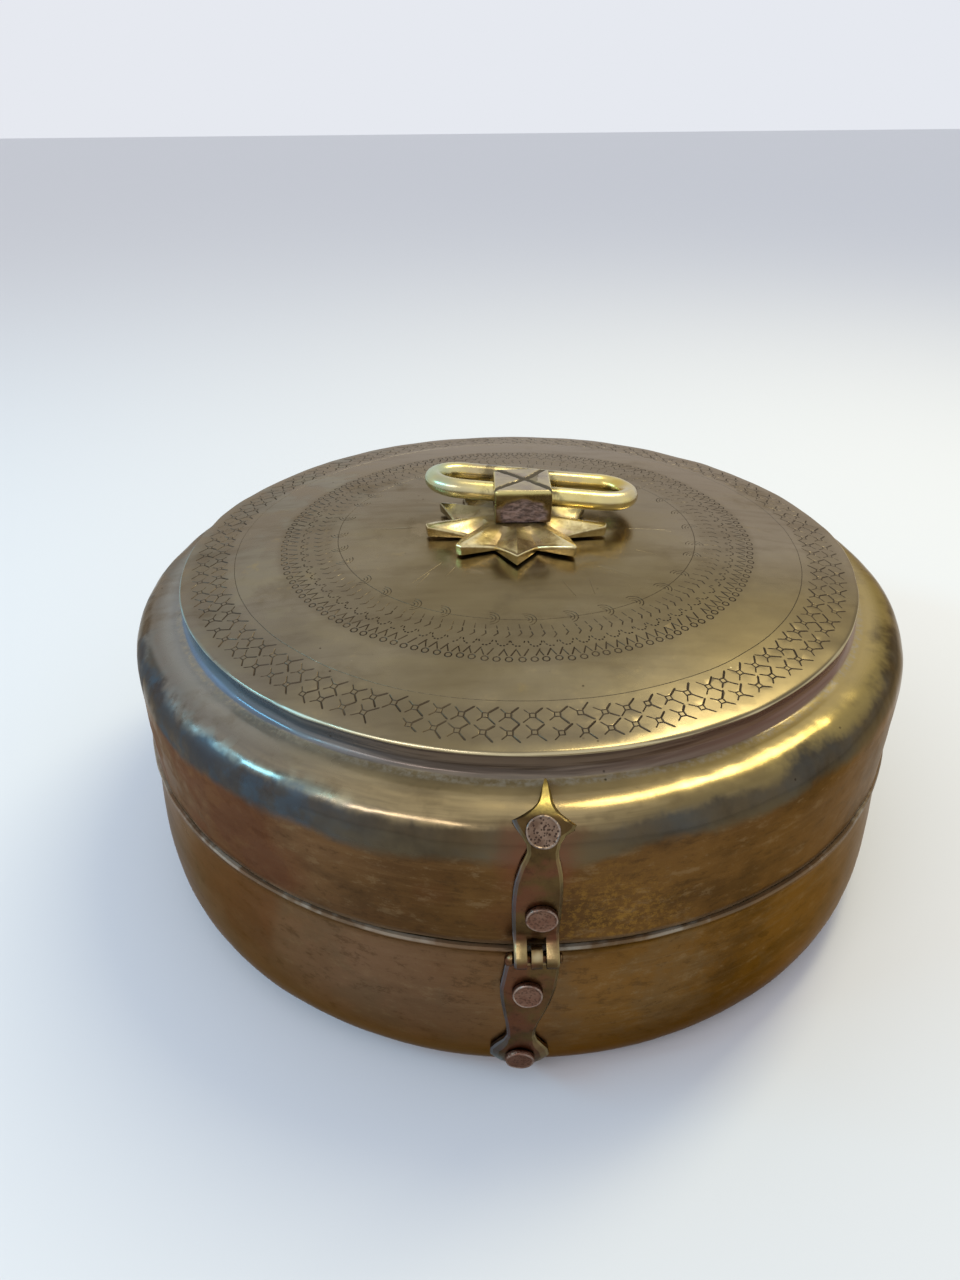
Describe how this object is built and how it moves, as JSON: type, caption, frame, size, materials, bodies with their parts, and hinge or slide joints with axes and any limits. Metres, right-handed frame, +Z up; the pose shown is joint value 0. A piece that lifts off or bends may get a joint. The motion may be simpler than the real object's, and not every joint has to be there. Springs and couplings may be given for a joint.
{
  "type": "hinged bread box",
  "caption": "Round lidded brass box with a strap-hinged domed lid, a ring handle on a flower boss and a swinging hasp over a staple, for keeping flat bread.",
  "frame": {"origin": "centre of the flat underside of the body, on the surface the box stands on", "axes": "+Z up along the box's axis, -Y towards the lid hinge, +Y towards the hasp, +X to the right seen from the hinge side"},
  "size_m": [0.3032, 0.3167, 0.148],
  "materials": {
    "lid_brass": "darkened, engraved, worn satin",
    "body_brass": "dark brown patina, satin",
    "inner_brass": "dull, unpolished",
    "strap_brass": "dark patina, worn edges",
    "rivet_copper": "reddish, pitted, matt",
    "cast_brass": "cast, worn satin",
    "ring_brass": "polished by handling"
  },
  "bodies": {
    "body": {"body_shell": "body_brass", "body_collar": "inner_brass", "hinge_body_strap": "strap_brass", "hinge_pin": "strap_brass", "hinge_body_rivet_upper": "rivet_copper", "hinge_body_rivet_lower": "rivet_copper", "hasp_body_strap": "strap_brass", "hasp_pin": "strap_brass", "hasp_body_rivet_upper": "rivet_copper", "hasp_body_rivet_lower": "rivet_copper"},
    "lid": {"lid_shell": "lid_brass", "hinge_lid_strap": "strap_brass", "hinge_lid_rivet_upper": "rivet_copper", "hinge_lid_rivet_lower": "rivet_copper", "staple": "strap_brass", "staple_rove": "inner_brass", "rosette": "cast_brass", "handle_post": "cast_brass", "handle_washer": "inner_brass"},
    "ring": {"handle_ring": "ring_brass"},
    "hasp": {"hasp": "strap_brass"}
  },
  "joints": [
    {"name": "lid_hinge", "type": "hinge", "parent": "body", "child": "lid", "pos_m": [0, -0.154, 0.064], "axis": [1, 0, 0], "range_deg": [0, 110]},
    {"name": "ring_swing", "type": "hinge", "parent": "lid", "child": "ring", "pos_m": [0.0023, 0.0015, 0.1412], "axis": [0.9952, -0.0434, -0.0872], "range_deg": [0, 160]},
    {"name": "hasp_hinge", "type": "hinge", "parent": "body", "child": "hasp", "pos_m": [0, 0.154, 0.064], "axis": [1, 0, 0], "range_deg": [0, 180]}
  ]
}
